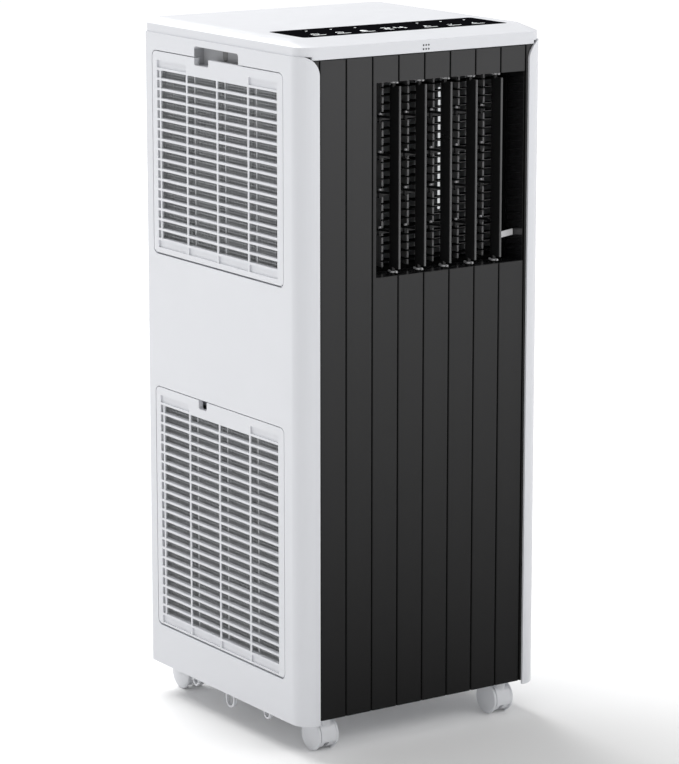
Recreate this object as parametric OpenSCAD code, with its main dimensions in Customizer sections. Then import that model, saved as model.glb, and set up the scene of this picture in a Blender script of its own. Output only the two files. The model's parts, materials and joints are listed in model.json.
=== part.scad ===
// Portable air conditioner: a tall box on four twin-wheel casters. Room air enters through two
// hinged, filtered grilles in the left side. The upper one feeds the evaporator and its blower,
// which blows forward through swinging vanes in the black front panel. The lower one feeds the
// condenser and its blower, which blows out of the round port at the back.
// Millimetres. The front faces -Y, +X is to the right, Z is up, and Z = 0 is the floor.

/* [Body] */
// Width across the side panels
body_w = 284; // [280:1:288]
// Depth from the front lips to the back edges
body_d = 285; // [283:1:288]
// Height of the side panels
panel_h = 648; // [646:1:660]
// Height of the side panels' lower edge above the floor
ground = 32; // [32:0.5:36]
// Radius of the front corners
front_r = 19.5; // [19:0.5:20]
// Radius of the back corners
rear_r = 4; // [3:0.5:5]
// Thickness of the plastic casing
wall = 2.5; // [2.2:0.1:2.8]

/* [Top cover] */
// Height of the upright band around the top cover
band_h = 8.6; // [7:0.2:10]
// Rise of the bevel above the band
bevel_h = 6.1; // [5:0.1:7]
// Length of the touch glass along X
glass_w = 237; // [225:1:240]
// Depth of the touch glass along Y
glass_d = 63; // [55:1:66]

/* [Front panel] */
// Number of vertical planks
planks = 8; // [8:8]
// Distance between the grooves
plank_pitch = 29.89; // [29.5:0.01:29.9]
// Height of the outlet opening's lower edge
outlet_z0 = 464.7; // [463:0.1:466]
// Height of the outlet opening's upper edge
outlet_z1 = 650.9; // [649:0.1:651]

/* [Vanes] */
// Number of vertical swing vanes
vanes = 5; // [5:5]
// Thickness of a vane
vane_t = 2; // [1.6:0.2:2.4]
// Distance between the link bars
link_pitch = 36.4; // [35:0.2:37]
// Angle that the vanes stand at, with their front edges to the right
swing = 12; // [0:1:20]

/* [Intake grilles] */
// Width of a grille cover
cover_w = 237; // [234:1:238]
// Height of the upper grille cover
upper_h = 202.4; // [201:0.2:203]
// Height of the lower grille cover
lower_h = 248.8; // [247:0.2:249]
// Distance between the rows of slots
row_pitch = 10.02; // [9.9:0.01:10.1]
// Height of a slot
slot_h = 7.7; // [7:0.1:8]

/* [Casters] */
// Radius of a caster wheel
wheel_r = 16; // [15:0.5:16]
// Width across the two wheels of a caster
caster_w = 25; // [24:0.5:26]
// Distance from a caster's stem back to its axle
trail = 7.5; // [6:0.5:8]

/* [Hidden] */
$fn = 48;
// A small overlap that makes a cut pass right through a face
cut = 1;
// Clearance between casing parts that meet without touching
gap = 0.3;

hw = body_w / 2;
hd = body_d / 2;
z_bottom = ground;
z_top = ground + panel_h;

WHITE = [0.9, 0.9, 0.92];
BLACK = [0.2, 0.2, 0.2];
DARK = [0.12, 0.12, 0.12];
GREY = [0.7, 0.71, 0.73];
METAL = [0.75, 0.75, 0.77];
COPPER = [0.78, 0.45, 0.25];

// ---- General shapes ----

function arc(cx, cy, r, a0, a1, n = 8) =
  [for (i = [0:n]) let (a = a0 + (a1 - a0) * i / n) [cx + r * cos(a), cy + r * sin(a)]];

// Plan of the body, moved inwards all round, with its front and back corner radii
function outline(inset, rf = front_r, rr = rear_r) =
  let (f = max(rf - inset, 0.8), r = max(rr - inset, 0.8), x = hw - inset, y = hd - inset)
  concat(arc(-x + f, -y + f, f, 180, 270), arc(x - f, -y + f, f, 270, 360),
         arc(x - r, y - r, r, 0, 90), arc(-x + r, y - r, r, 90, 180));

function rounded(x0, y0, x1, y1, r) =
  concat(arc(x0 + r, y0 + r, r, 180, 270), arc(x1 - r, y0 + r, r, 270, 360),
         arc(x1 - r, y1 - r, r, 0, 90), arc(x0 + r, y1 - r, r, 90, 180));

module slab(points, z0, z1) translate([0, 0, z0]) linear_extrude(z1 - z0) polygon(points);
module box(lo, hi) translate(lo) cube(hi - lo);
module rod_x(x, y, z, length, r) translate([x, y, z]) rotate([0, 90, 0]) cylinder(h = length, r = r);
module rod_y(x, y, z, length, r) translate([x, y, z]) rotate([-90, 0, 0]) cylinder(h = length, r = r);
module rod_z(x, y, z, length, r) translate([x, y, z]) cylinder(h = length, r = r);
// A flat shape drawn in Y and Z, with a thickness along X
module plate_x(x, t) translate([x, 0, 0]) rotate([90, 0, 90]) linear_extrude(t) children();
// A flat shape drawn in X and Z, with a thickness along Y
module plate_y(y, t) translate([0, y + t, 0]) rotate([90, 0, 0]) linear_extrude(t) children();

// ---- Side panels ----

lip_x = 121.7;
return_x = 128;
flange_x = 112;
flange_y = hd - 3;
window_gap = 0.9;
cover_corner = 6;
pocket_wall = 2;
pocket_back = -128.5;
ledge_front = pocket_back - 2;
ledge_w = 8;
cover_y = 8.5;
upper_z0 = 459.9;
lower_z0 = 74;
recess_y0 = -32.5;
recess_y1 = 47.6;
recess_z0 = 655;
recess_z1 = 673.6;
recess_back = -131;
lock_y = 7;
tub_z0 = 650.5;
tub_x = -136.5;
lip_cut_r = 20;
lip_cut_z = z_top - 19;
screw_x = 119;
screw_zs = [60, 240, 430, 662];

// Plan of the left casing shell: front lip, rounded corner, side, back return and fixing flange
shell_plan = concat(
  [[-lip_x, -hd]],
  arc(-hw + front_r, -hd + front_r, front_r, 270, 180, 12),
  arc(-hw + rear_r, hd - rear_r, rear_r, 180, 90, 6),
  [[-return_x, hd], [-return_x, flange_y], [-flange_x, flange_y], [-flange_x, flange_y - wall],
   [-hw + wall, flange_y - wall]],
  arc(-hw + front_r, -hd + front_r, front_r - wall, 180, 270, 12),
  [[-lip_x, -hd + wall]]);

module lip_corner_cut() difference() {
  box([-hw + 0.4, -hd - cut, lip_cut_z], [-lip_x + cut, -hd + front_r, z_top + cut]);
  rod_y(-hw + 0.4, -hd - 2 * cut, lip_cut_z, front_r + 4 * cut, lip_cut_r);
}

module side_shell() difference() {
  slab(shell_plan, z_bottom, z_top);
  lip_corner_cut();
  for (z = screw_zs) rod_y(-screw_x, flange_y - wall - cut, z, wall + 2 * cut, 1.6);
}

// The frame behind a grille cover, with the ledge that the filter faces
module window_pocket(z0, h) box(
  [-hw + cut, cover_y - cover_w / 2 - window_gap - pocket_wall, z0 - window_gap - pocket_wall],
  [pocket_back, cover_y + cover_w / 2 + window_gap + pocket_wall, z0 + h + window_gap + pocket_wall]);

module window_cut(z0, h) {
  plate_x(-hw - cut, ledge_front + hw + cut)
    polygon(rounded(cover_y - cover_w / 2 - window_gap, z0 - window_gap, cover_y + cover_w / 2 + window_gap,
                    z0 + h + window_gap, cover_corner + window_gap));
  box([-hw - cut, cover_y - cover_w / 2 + ledge_w, z0 + ledge_w],
      [pocket_back + cut, cover_y + cover_w / 2 - ledge_w, z0 + h - ledge_w]);
}

module finger_recess_cut() {
  plate_x(-hw - cut, recess_back + hw + cut)
    polygon(rounded(recess_y0, recess_z0, recess_y1, recess_z1, 3));
  // Slot for the cover's lock in the back of the recess
  plate_x(recess_back - cut, 5) union() {
    translate([lock_y, 666]) circle(r = 4.5);
    translate([lock_y - 4.5, 666]) square([9, recess_z1 - 666]);
  }
}

// A tub that closes the space behind the notch in the upper cover
module notch_tub() difference() {
  box([tub_x, tab_y - pocket_wall, tub_z0], [recess_back + 2, recess_y1 + pocket_wall, recess_z0 + 8]);
  box([tub_x - cut, tab_y, tub_z0 + pocket_wall], [recess_back, recess_y1, recess_z0 + 9]);
}

module left_side_panel() color(WHITE) difference() {
  union() {
    window_shell();
    notch_tub();
  }
  finger_recess_cut();
}

// The left shell with the windows for both covers
module window_shell() difference() {
  union() {
    side_shell();
    window_pocket(upper_z0, upper_h);
    window_pocket(lower_z0, lower_h);
    box([-hw + cut, recess_y0 - pocket_wall, recess_z0], [recess_back + 2, recess_y1 + pocket_wall,
        recess_z1 + pocket_wall]);
  }
  window_cut(upper_z0, upper_h);
  window_cut(lower_z0, lower_h);
}

handle_y = 45;
handle_z0 = 630;
handle_z1 = 660;
handle_depth = 15;

module right_side_panel() color(WHITE) difference() {
  union() {
    mirror([1, 0, 0]) side_shell();
    box([hw - handle_depth - 2, -handle_y - 2, handle_z0 - 2], [hw - cut, handle_y + 2, handle_z1 + 2]);
  }
  plate_x(hw - handle_depth, handle_depth + cut)
    polygon(rounded(-handle_y, handle_z0, handle_y, handle_z1, 6));
}

// ---- Base pan ----

pan_x = 136.4;
pan_y0 = -136.6;
pan_y1 = 136.7;
pan_z0 = ground + 4;
pan_z1 = 58;
pan_floor = 3;
caster_x = 105.8;
caster_front_y = -125;
caster_rear_y = 118.5;
stem_r = 4;
stem_top = 55;
fit_clear = 0.06;
drain_x = 60;
drain_low_z = 50;
drain_up_z = 450;
drain_r = 5;
lug_t = 3;
lug_inset = 6;
lug_wall = 2;
// Lugs under each long edge: place along Y, height of the lowest point, and half-width
lugs = [[74.8, 18, 6], [9, 12.5, 8], [-59.5, 18.5, 6]];

pan_plan = concat(
  arc(-pan_x + 13.9, pan_y0 + 13.9, 13.9, 180, 270), arc(pan_x - 13.9, pan_y0 + 13.9, 13.9, 270, 360),
  arc(pan_x - 2, pan_y1 - 2, 2, 0, 90, 4), arc(-pan_x + 2, pan_y1 - 2, 2, 90, 180, 4));

module at_casters() for (x = [-caster_x, caster_x], y = [caster_front_y, caster_rear_y])
  translate([x, y, 0]) children();

module lug(y, z, w) translate([lug_inset - pan_x, 0, 0]) difference() {
  union() {
    box([0, y - w, z + w], [lug_t, y + w, pan_z0 + cut]);
    rod_x(0, y, z + w, lug_t, w);
  }
  rod_x(-cut, y, z + w, lug_t + 2 * cut, w - lug_wall);
  box([-cut, y - w + lug_wall, z + w], [lug_t + cut, y + w - lug_wall, pan_z0 - lug_wall]);
}

module base_pan() color(GREY) difference() {
  union() {
    difference() {
      slab(pan_plan, pan_z0, pan_z1);
      slab(rounded(-pan_x + wall, pan_y0 + wall, pan_x - wall, pan_y1 - wall, 11), pan_z0 + pan_floor,
           pan_z1 + cut);
    }
    at_casters() rod_z(0, 0, pan_z0 + cut, stem_top - pan_z0 + 1, 8);
    for (x = [-60, 60]) box([x - 1.5, pan_y0 + cut, pan_z0 + cut], [x + 1.5, pan_y1 - cut, pan_z0 + 7]);
    for (l = lugs) {
      lug(l[0], l[1], l[2]);
      mirror([1, 0, 0]) lug(l[0], l[1], l[2]);
    }
    rod_y(drain_x, pan_y1 - 20, drain_low_z, 20, drain_r + 3);
  }
  at_casters() rod_z(0, 0, pan_z0 - cut, stem_top - pan_z0 + cut, stem_r + fit_clear);
  rod_y(drain_x, pan_y1 - 21, drain_low_z, 22, drain_r + fit_clear);
}

// ---- Rear cover ----

rear_y = hd - 2.8;
port_x = -14;
port_z = 337;
port_r = 75;
port_wall = 3.5;
cord_x = 96;
cord_z = 78;
cord_r = 4.2;
cord_pocket = 18;
cup_r = 12;
cup_depth = 6;
vent_x = -50;
vent_z = 92;
vent_w = 44;
vent_rows = 12;
vent_pitch = 11;

module drain_cup(z) rod_y(drain_x, rear_y - cup_depth + wall, z, cup_depth, cup_r + 2);
module drain_cup_cut(z) {
  rod_y(drain_x, rear_y - cup_depth + 2 * wall, z, cup_depth, cup_r);
  rod_y(drain_x, rear_y - cup_depth, z, cup_depth + 4, drain_r + fit_clear);
}

module rear_cover() color(WHITE) difference() {
  union() {
    plate_y(rear_y, wall) polygon(rounded(-return_x + 0.5, z_bottom + 1, return_x - 0.5, z_top - 1, 2));
    drain_cup(drain_up_z);
    box([cord_x - cord_pocket - 2, rear_y - 14, cord_z - cord_pocket - 2],
        [cord_x + cord_pocket - 4, rear_y + 1, cord_z + cord_pocket + 2]);
  }
  rod_y(port_x, rear_y - cut, port_z, wall + 2 * cut, port_r + port_wall + gap);
  drain_cup_cut(drain_up_z);
  rod_y(drain_x, rear_y - cut, drain_low_z, wall + 2 * cut, cup_r);
  plate_y(rear_y - 12, 16)
    polygon(rounded(cord_x - cord_pocket, cord_z - cord_pocket, cord_x + cord_pocket - 6,
                    cord_z + cord_pocket, 3));
  rod_y(cord_x - 3, rear_y - 15, cord_z, 6, 8 + gap);
  for (i = [0:vent_rows - 1], x = [-vent_w - 2, 2])
    box([vent_x + x, rear_y - cut, vent_z + i * vent_pitch],
        [vent_x + x + vent_w, rear_y + wall + cut, vent_z + i * vent_pitch + 6]);
  for (x = [-screw_x, screw_x], z = screw_zs) {
    rod_y(x, rear_y - cut, z, wall + 2 * cut, 1.6);
    rod_y(x, rear_y + 1, z, wall, 4.2);
  }
}

module screw() difference() {
  union() {
    rod_y(0, -8, 0, 8.2, 1.5);
    rod_y(0, 0, 0, 1.4, 3.8);
  }
  box([-2.4, 0.7, -0.35], [2.4, 2, 0.35]);
  box([-0.35, 0.7, -2.4], [0.35, 2, 2.4]);
}

module casing_screws() color(METAL)
  for (x = [-screw_x, screw_x], z = screw_zs) translate([x, rear_y + 1, z]) screw();

// ---- Top cover ----

cap_inset = 1.5;
band_z = z_top + band_h;
deck_z = band_z + bevel_h;
deck_inset = 9.5;
deck_y0 = -112;
skirt_z = z_top - 3.2;
skirt_x = 128.5;
glass_t = 2.2;
glass_y0 = deck_y0 + 0.5;
mic_pitch = 3;

deck_plan = rounded(-hw + deck_inset, deck_y0, hw - deck_inset, hd - deck_inset, 6);

module cap_outside() {
  slab(outline(cap_inset), z_top, band_z);
  hull() {
    slab(outline(cap_inset), band_z - 0.2, band_z);
    slab(deck_plan, deck_z - 0.2, deck_z);
  }
}

module cap_inside() {
  slab(outline(cap_inset + wall), z_top - cut, band_z - 0.6);
  hull() {
    slab(outline(cap_inset + wall), band_z - 1, band_z - 0.6);
    slab(rounded(-hw + deck_inset + 1, deck_y0 + 1, hw - deck_inset - 1, hd - deck_inset - 1, 5),
         deck_z - wall - 0.2, deck_z - wall);
  }
}

module glass_plan(clear) polygon(rounded(-glass_w / 2 - clear, glass_y0 - clear, glass_w / 2 + clear,
                                         glass_y0 + glass_d + clear, 4 + clear));

module top_cover() color(WHITE) difference() {
  union() {
    difference() {
      cap_outside();
      cap_inside();
    }
    // Front skirt between the lips
    difference() {
      slab(outline(cap_inset), skirt_z, z_top + cut);
      slab(outline(cap_inset + wall), skirt_z - cut, z_top + 2 * cut);
      box([-hw, -hd + front_r - 4, skirt_z - cut], [hw, hd, z_top + 2 * cut]);
      box([-hw, -hd, skirt_z - cut], [-skirt_x, 0, z_top + cut / 2]);
      box([skirt_x, -hd, skirt_z - cut], [hw, 0, z_top + cut / 2]);
    }
    translate([0, 0, deck_z - glass_t - 2]) linear_extrude(2 + glass_t / 2) glass_plan(2);
  }
  translate([0, 0, deck_z - glass_t]) linear_extrude(glass_t + cut) glass_plan(gap);
  for (x = [-1:1], z = [-0.5, 0.5])
    rod_y(x * mic_pitch, -hd - cut, z_top + 1.6 + z * mic_pitch * 1.25, 2 * wall + cut, 0.6);
}

module control_glass() color(DARK)
  translate([0, 0, deck_z - glass_t]) linear_extrude(glass_t) glass_plan(0);

board_z = deck_z - glass_t - 6;
module control_board() color("darkgreen") union() {
  box([-112, glass_y0 + 6, board_z], [112, glass_y0 + glass_d - 6, board_z + 1.6]);
  for (x = [-105, 0, 105], y = [glass_y0 + 10, glass_y0 + glass_d - 10])
    rod_z(x, y, board_z + 1, 3, 3);
}

// ---- Front panel ----

plank_y = -hd + 3.1;
plank_back = plank_y + wall;
groove_w = 1.3;
groove_depth = 1.7;
plank_bevel = 1.0;
front_z0 = z_bottom + 3.5;
front_z1 = z_top - 4.2;
plank_x0 = -planks * plank_pitch / 2;
function groove_x(i) = plank_x0 + i * plank_pitch;
outlet_x0 = groove_x(2) + 4;
outlet_x1 = groove_x(8) - 0.5;
edge_r = front_r - wall - 0.6;

plank_face = [for (i = [0:planks]) let (x = groove_x(i)) each [
  [x - groove_w / 2 - plank_bevel, plank_y], [x - groove_w / 2, plank_y + plank_bevel * 0.8],
  [x - groove_w / 2, plank_y + groove_depth], [x + groove_w / 2, plank_y + groove_depth],
  [x + groove_w / 2, plank_y + plank_bevel * 0.8], [x + groove_w / 2 + plank_bevel, plank_y]]];

front_plan = concat(
  arc(-hw + front_r, plank_y + edge_r, edge_r, 220, 270, 6), plank_face,
  arc(hw - front_r, plank_y + edge_r, edge_r, 270, 320, 6),
  arc(hw - front_r, plank_y + edge_r, edge_r - wall, 320, 270, 6),
  arc(-hw + front_r, plank_y + edge_r, edge_r - wall, 270, 220, 6));

module front_panel() color(BLACK) difference() {
  slab(front_plan, front_z0, front_z1);
  box([outlet_x0, -hd - cut, outlet_z0], [outlet_x1, 0, outlet_z1]);
}

// ---- Outlet: duct, safety grille, vanes and link bars ----

duct_gap = 0.5;
duct_y1 = -90;
pivot_y = -130;
vane_y0 = -138.5;
slat_y1 = -126;
vane_z0 = outlet_z0 + 6;
vane_z1 = outlet_z1 - 5;
pin_r = 2;
pin_length = 16;
// Length of the arms, from the pivot back to the link pins
arm = 18;
arm_w = 3;
arm_h = 2.2;
arm_gap = 0.1;
link_r = 1;
link_head = 1.6;
link_bar_h = 3;
knuckle_r = 2;
grille_y0 = -107;
grille_y1 = -91;
// Distance from a vane's plane to the rib behind it
rib_offset = 3.5;
function vane_x(i) = groove_x(i + 2);
function link_z(i) = (outlet_z0 + outlet_z1) / 2 + (i - 1.5) * link_pitch;

module outlet_duct() color(DARK) difference() {
  box([outlet_x0 - duct_gap - wall, plank_back + 0.1, outlet_z0 - duct_gap - wall],
      [outlet_x1 + duct_gap + wall, duct_y1, outlet_z1 + duct_gap + wall]);
  box([outlet_x0 - duct_gap, plank_back - cut, outlet_z0 - duct_gap],
      [outlet_x1 + duct_gap, duct_y1 + cut, outlet_z1 + duct_gap]);
  for (i = [1:vanes])
    rod_z(vane_x(i), pivot_y, outlet_z0 - 2 * wall, outlet_z1 - outlet_z0 + 4 * wall, pin_r + fit_clear);
}

module outlet_grille() color(BLACK) union() {
  for (i = [1:vanes]) let (x = vane_x(i) + rib_offset)
    box([x - 1, grille_y0, outlet_z0], [x + 1, grille_y1, outlet_z1]);
  for (z = [outlet_z0 : 8 : outlet_z1 - 2])
    box([vane_x(1) + rib_offset, grille_y0 + 2, z], [outlet_x1, grille_y1 - 3, z + 1.2]);
  for (x = [outlet_x0, outlet_x1 - 3]) box([x, grille_y0, outlet_z0], [x + 3, grille_y1, outlet_z1]);
  for (z = [outlet_z0, outlet_z1 - 3]) box([outlet_x0, grille_y0, z], [outlet_x1, grille_y1, z + 3]);
}

module swing_motor() color(METAL) union() {
  difference() {
    rod_z(vane_x(1), pivot_y + 8, outlet_z0 - duct_gap - wall - 19, 18.8, 13);
    rod_z(vane_x(1), pivot_y, outlet_z0 - duct_gap - wall - 8, 9, pin_r + 1);
  }
  for (s = [-1, 1]) rod_z(vane_x(1) + s * 15, pivot_y + 8, outlet_z0 - duct_gap - wall - 2, 1.8, 4);
}

module vane(i) color(BLACK) translate([vane_x(i), pivot_y, 0]) rotate(swing) union() {
  plate_x(-vane_t / 2, vane_t)
    polygon(rounded(vane_y0 - pivot_y, vane_z0, slat_y1 - pivot_y, vane_z1, 1));
  // Pivot pins at both ends, with their shoulders
  rod_z(0, 0, outlet_z0 - duct_gap - wall, pin_length, pin_r);
  rod_z(0, 0, outlet_z1 + duct_gap + wall - pin_length, pin_length, pin_r);
  rod_z(0, 0, vane_z0 - 2, 5, pin_r + 1);
  rod_z(0, 0, vane_z1 - 3, 5, pin_r + 1);
  // Arms over the link bars, with the headed pins that hang through them
  for (j = [0:3]) let (half = link_bar_h / 2 + arm_gap, top = link_z(j) + half, low = link_z(j) - half) {
    box([-arm_w / 2, slat_y1 - pivot_y - cut, top], [arm_w / 2, arm + arm_w / 2, top + arm_h]);
    rod_z(0, arm, low - link_head, top - low + link_head + cut, link_r);
    rod_z(0, arm, low - link_head, link_head, 2 * link_r);
  }
}

// A bar that hangs on one pin of every vane, drawn with those pins on Y = 0
module link_bar(z) difference() {
  union() {
    box([vane_x(1) - 4, 0.2, z - link_bar_h / 2], [vane_x(vanes) + 4, 2.6, z + link_bar_h / 2]);
    for (i = [1:vanes]) rod_z(vane_x(i), 0, z - link_bar_h / 2, link_bar_h, knuckle_r);
  }
  for (i = [1:vanes]) rod_z(vane_x(i), 0, z - link_bar_h, 2 * link_bar_h, link_r + 0.08);
}

module vane_link_bars() color(DARK)
  translate([-arm * sin(swing), pivot_y + arm * cos(swing), 0]) for (j = [0:3]) link_bar(link_z(j));

// ---- Intake grille covers and filters ----

cover_x = -hw + 0.1;
cover_t = 5;
bar_pitch = 55.8;
bar_w = 2.4;
// Depth of the vertical bars, in front of the louvres
bar_depth = 1.2;
field_y0 = -100;
field_y1 = 118.4;
bar_y = 6.5;
edge_bar_y = 112.3;
pocket_h = 7.3;
pocket_depth = 1.8;
upper_rows = 17;
lower_rows = 22;
upper_row_z = 643.8;
lower_row_z = 304.9;
tab_y = 21.8;

// The four columns of slots, front to back
columns = [for (i = [-1:2])
  [i == -1 ? field_y0 : bar_y + (i - 1) * bar_pitch + bar_w / 2,
   i == 2 ? field_y1 : bar_y + i * bar_pitch - bar_w / 2]];

module cover_outline(z0, h)
  polygon(rounded(cover_y - cover_w / 2, z0, cover_y + cover_w / 2, z0 + h, cover_corner));

module slot_field(top_z, rows) for (r = [0:rows - 1])
  let (z = top_z - r * row_pitch - slot_h) {
    for (c = [0:2]) translate([columns[c][0], z]) square([columns[c][1] - columns[c][0], slot_h]);
    translate([columns[3][0], z]) square([edge_bar_y - bar_w / 2 - columns[3][0], slot_h]);
    translate([edge_bar_y + bar_w / 2, z]) square([field_y1 - edge_bar_y - bar_w / 2, slot_h]);
  }

// The same rows, each one slot across the whole field, behind the vertical bars
module row_field(top_z, rows) for (r = [0:rows - 1])
  translate([field_y0, top_z - r * row_pitch - slot_h]) square([field_y1 - field_y0, slot_h]);

module blind_pocket(c, z) plate_x(cover_x - cut, pocket_depth + cut)
  translate([columns[c][0], z]) square([columns[c][1] - columns[c][0], pocket_h]);

module below_hinge(z0) translate([cover_y - cover_w, z0 - cut]) square([2 * cover_w, cover_t / 2 + cut]);

// A cover with a round lower edge, so that it turns in its window
module grille_cover(z0, h, top_z, rows) difference() {
  union() {
    plate_x(cover_x, bar_depth) difference() {
      cover_outline(z0, h);
      slot_field(top_z, rows);
      below_hinge(z0);
    }
    plate_x(cover_x + bar_depth, cover_t - bar_depth) difference() {
      cover_outline(z0, h);
      row_field(top_z, rows);
      below_hinge(z0);
    }
    rod_y(cover_x + cover_t / 2, cover_y - (cover_w - cover_corner) / 2, z0 + cover_t / 2,
          cover_w - cover_corner, cover_t / 2);
  }
  for (c = [0:3]) blind_pocket(c, top_z - rows * row_pitch - pocket_h);
  for (c = [0, 3]) blind_pocket(c, top_z + row_pitch - slot_h);
}

module upper_grille_cover() color(WHITE) difference() {
  grille_cover(upper_z0, upper_h, upper_row_z, upper_rows);
  plate_x(cover_x - cut, cover_t + 2 * cut)
    polygon(rounded(tab_y, recess_z0, recess_y1, upper_z0 + upper_h + 9, 2));
}

module lower_grille_cover() color(WHITE) difference() {
  grille_cover(lower_z0, lower_h, lower_row_z, lower_rows);
  plate_x(cover_x - cut, cover_t + 2 * cut)
    polygon(rounded(30, lower_z0 + lower_h - 9, 45, lower_z0 + lower_h + 9, 2));
}

filter_x = cover_x + cover_t;
filter_t = 3.6;
filter_rim = 5;
filter_rib = 2.6;
rib_shift = -6;
filter_y0 = field_y0 - 6;
filter_y1 = field_y1 + 4;

module air_filter(z0, z1, ribs) color(GREY) union() {
  plate_x(filter_x, filter_t) difference() {
    polygon(rounded(filter_y0, z0, filter_y1, z1, 3));
    translate([filter_y0 + filter_rim, z0 + filter_rim])
      square([filter_y1 - filter_y0 - 2 * filter_rim, z1 - z0 - 2 * filter_rim]);
  }
  for (i = [-1:1]) let (y = bar_y + i * bar_pitch + rib_shift)
    box([filter_x + 0.6, y - filter_rib / 2, z0 + 1], [filter_x + filter_t, y + filter_rib / 2, z1 - 1]);
  for (i = [1:ribs]) let (z = z0 + (z1 - z0) * i / (ribs + 1))
    box([filter_x + 0.6, filter_y0 + 1, z - filter_rib / 2], [filter_x + filter_t, filter_y1 - 1,
        z + filter_rib / 2]);
  // The woven mesh, as one thin sheet
  box([filter_x + 1.4, filter_y0 + 1, z0 + 1], [filter_x + 2.2, filter_y1 - 1, z1 - 1]);
}

module upper_air_filter() air_filter(upper_z0 + 7, upper_row_z + 4, 2);
module lower_air_filter() air_filter(lower_z0 + 7, lower_row_z + 4, 3);

// ---- Coils ----

coil_y0 = -98;
coil_y1 = 112;
bend_r = 7;
tube_r = 3.5;

// A finned block with end plates and the return bends that stand out of them
module coil(x0, x1, z0, z1) union() {
  box([x0, coil_y0, z0], [x1, coil_y1, z1]);
  for (y = [coil_y0 - 1.5, coil_y1]) color(METAL) box([x0 - 0.8, y, z0 - 1], [x1 + 0.8, y + 1.5, z1 + 1]);
  for (z = [z0 + 14 : 4 * bend_r : z1 - 24], end = [[coil_y0 - 1.5, 90], [coil_y1 + 1.5, -90]])
    color(COPPER) translate([(x0 + x1) / 2, end[0], z + bend_r]) rotate([90, 0, 90]) rotate(end[1])
      rotate_extrude(angle = 180) translate([bend_r, 0]) circle(r = tube_r, $fn = 24);
}

evap_x0 = -126;
evap_x1 = -102;
cond_x0 = -126;
cond_x1 = -98;

cond_z1 = 318;
module evaporator_coil() color(METAL) coil(evap_x0, evap_x1, 466, 656);
module condenser_coil() color(METAL) coil(cond_x0, cond_x1, 80, cond_z1);

// ---- Compressor and its pipes ----

comp_x = 80;
comp_y = -75;
comp_r = 55;
comp_z0 = 64;
comp_z1 = 262;
foot_r = 62;

module compressor() color(DARK) difference() {
  union() {
    rod_z(comp_x, comp_y, comp_z0, comp_z1 - comp_z0 - 12, comp_r);
    translate([comp_x, comp_y, comp_z1 - 12]) cylinder(h = 12, r1 = comp_r, r2 = comp_r - 14);
    rod_z(comp_x, comp_y, comp_z1 - 12, 16, 14);
  }
  rod_z(comp_x, comp_y, comp_z0 - cut, comp_z1 - comp_z0 - 24, comp_r - 9);
}

module compressor_feet() color(METAL) union() {
  rod_z(comp_x, comp_y, comp_z0 - 3, 3, comp_r);
  for (a = [90, 210, 330]) translate([comp_x, comp_y, 0]) rotate(a) {
    box([20, -12, comp_z0 - 3], [58, 12, comp_z0]);
    translate([50, 0, pan_z0 + pan_floor]) cylinder(h = comp_z0 - 3 - pan_z0 - pan_floor, r = 9);
  }
}

pipe_r = 4;
suction_y = -110;
suction_z = 471;
cross_z = 430;
module elbow(x, y, z, r = pipe_r) translate([x, y, z]) sphere(r = r);

module suction_line() color(COPPER) union() {
  rod_y(-114, suction_y, suction_z, -suction_y + coil_y0 - 1.6, pipe_r);
  elbow(-114, suction_y, suction_z);
  rod_z(-114, suction_y, cross_z, suction_z - cross_z, pipe_r);
  elbow(-114, suction_y, cross_z);
  rod_x(-114, suction_y, cross_z, comp_x + 114, pipe_r);
  elbow(comp_x, suction_y, cross_z);
  rod_z(comp_x, suction_y, comp_z1, cross_z - comp_z1, pipe_r);
}

discharge_z = 330;
module discharge_line() color(COPPER) union() {
  rod_z(comp_x, comp_y, comp_z1 + 4, discharge_z - comp_z1 - 4, pipe_r - 1);
  elbow(comp_x, comp_y, discharge_z, pipe_r - 1);
  rod_x(-112, comp_y, discharge_z, comp_x + 112, pipe_r - 1);
  elbow(-112, comp_y, discharge_z, pipe_r - 1);
  rod_z(-112, comp_y, cond_z1, discharge_z - cond_z1, pipe_r - 1);
}

drier_y = -124;
drier_z0 = 350;
drier_z1 = 415;
liquid_z0 = 86;
liquid_z1 = 501;
module liquid_line() color(COPPER) union() {
  for (z = [liquid_z0, liquid_z1]) {
    rod_y(-112, drier_y, z, -drier_y + coil_y0 - 1.6, 2);
    elbow(-112, drier_y, z, 2);
  }
  rod_z(-112, drier_y, liquid_z0, drier_z0 - liquid_z0, 2);
  rod_z(-112, drier_y, drier_z1, liquid_z1 - drier_z1, 2);
}

module filter_drier() color(COPPER) union() {
  rod_z(-112, drier_y, drier_z0 + 8, drier_z1 - drier_z0 - 16, 8);
  translate([-112, drier_y, drier_z0]) cylinder(h = 8, r1 = 3, r2 = 8);
  translate([-112, drier_y, drier_z1 - 8]) cylinder(h = 8, r1 = 8, r2 = 3);
}

// ---- Blowers ----

// A drum of blades on a back plate, around an axis along X through the origin
module blower_wheel(x0, x1, r, blades, shaft_x) union() {
  difference() {
    rod_x(x0, 0, 0, 3, r);
    rod_x(x0 - cut, 0, 0, 3 + 2 * cut, r - 12);
  }
  rod_x(x1 - 3, 0, 0, 3, r);
  for (i = [0:blades - 1]) rotate([i * 360 / blades, 0, 0]) translate([x0 + 1, 0, r - 9])
    rotate([35, 0, 0]) translate([0, -5, -0.6]) cube([x1 - x0 - 2, 10, 1.2]);
  rod_x(x1 - 25, 0, 0, 25, 11);
  rod_x(x1 - 30, 0, 0, shaft_x - x1 + 30, 4);
}

module fan_motor(x0, x1, r) difference() {
  union() {
    rod_x(x0 + 4, 0, 0, x1 - x0 - 4, r);
    rod_x(x0, 0, 0, 5, 12);
  }
  rod_x(x0 - cut, 0, 0, 24, 4 + fit_clear);
}

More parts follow.
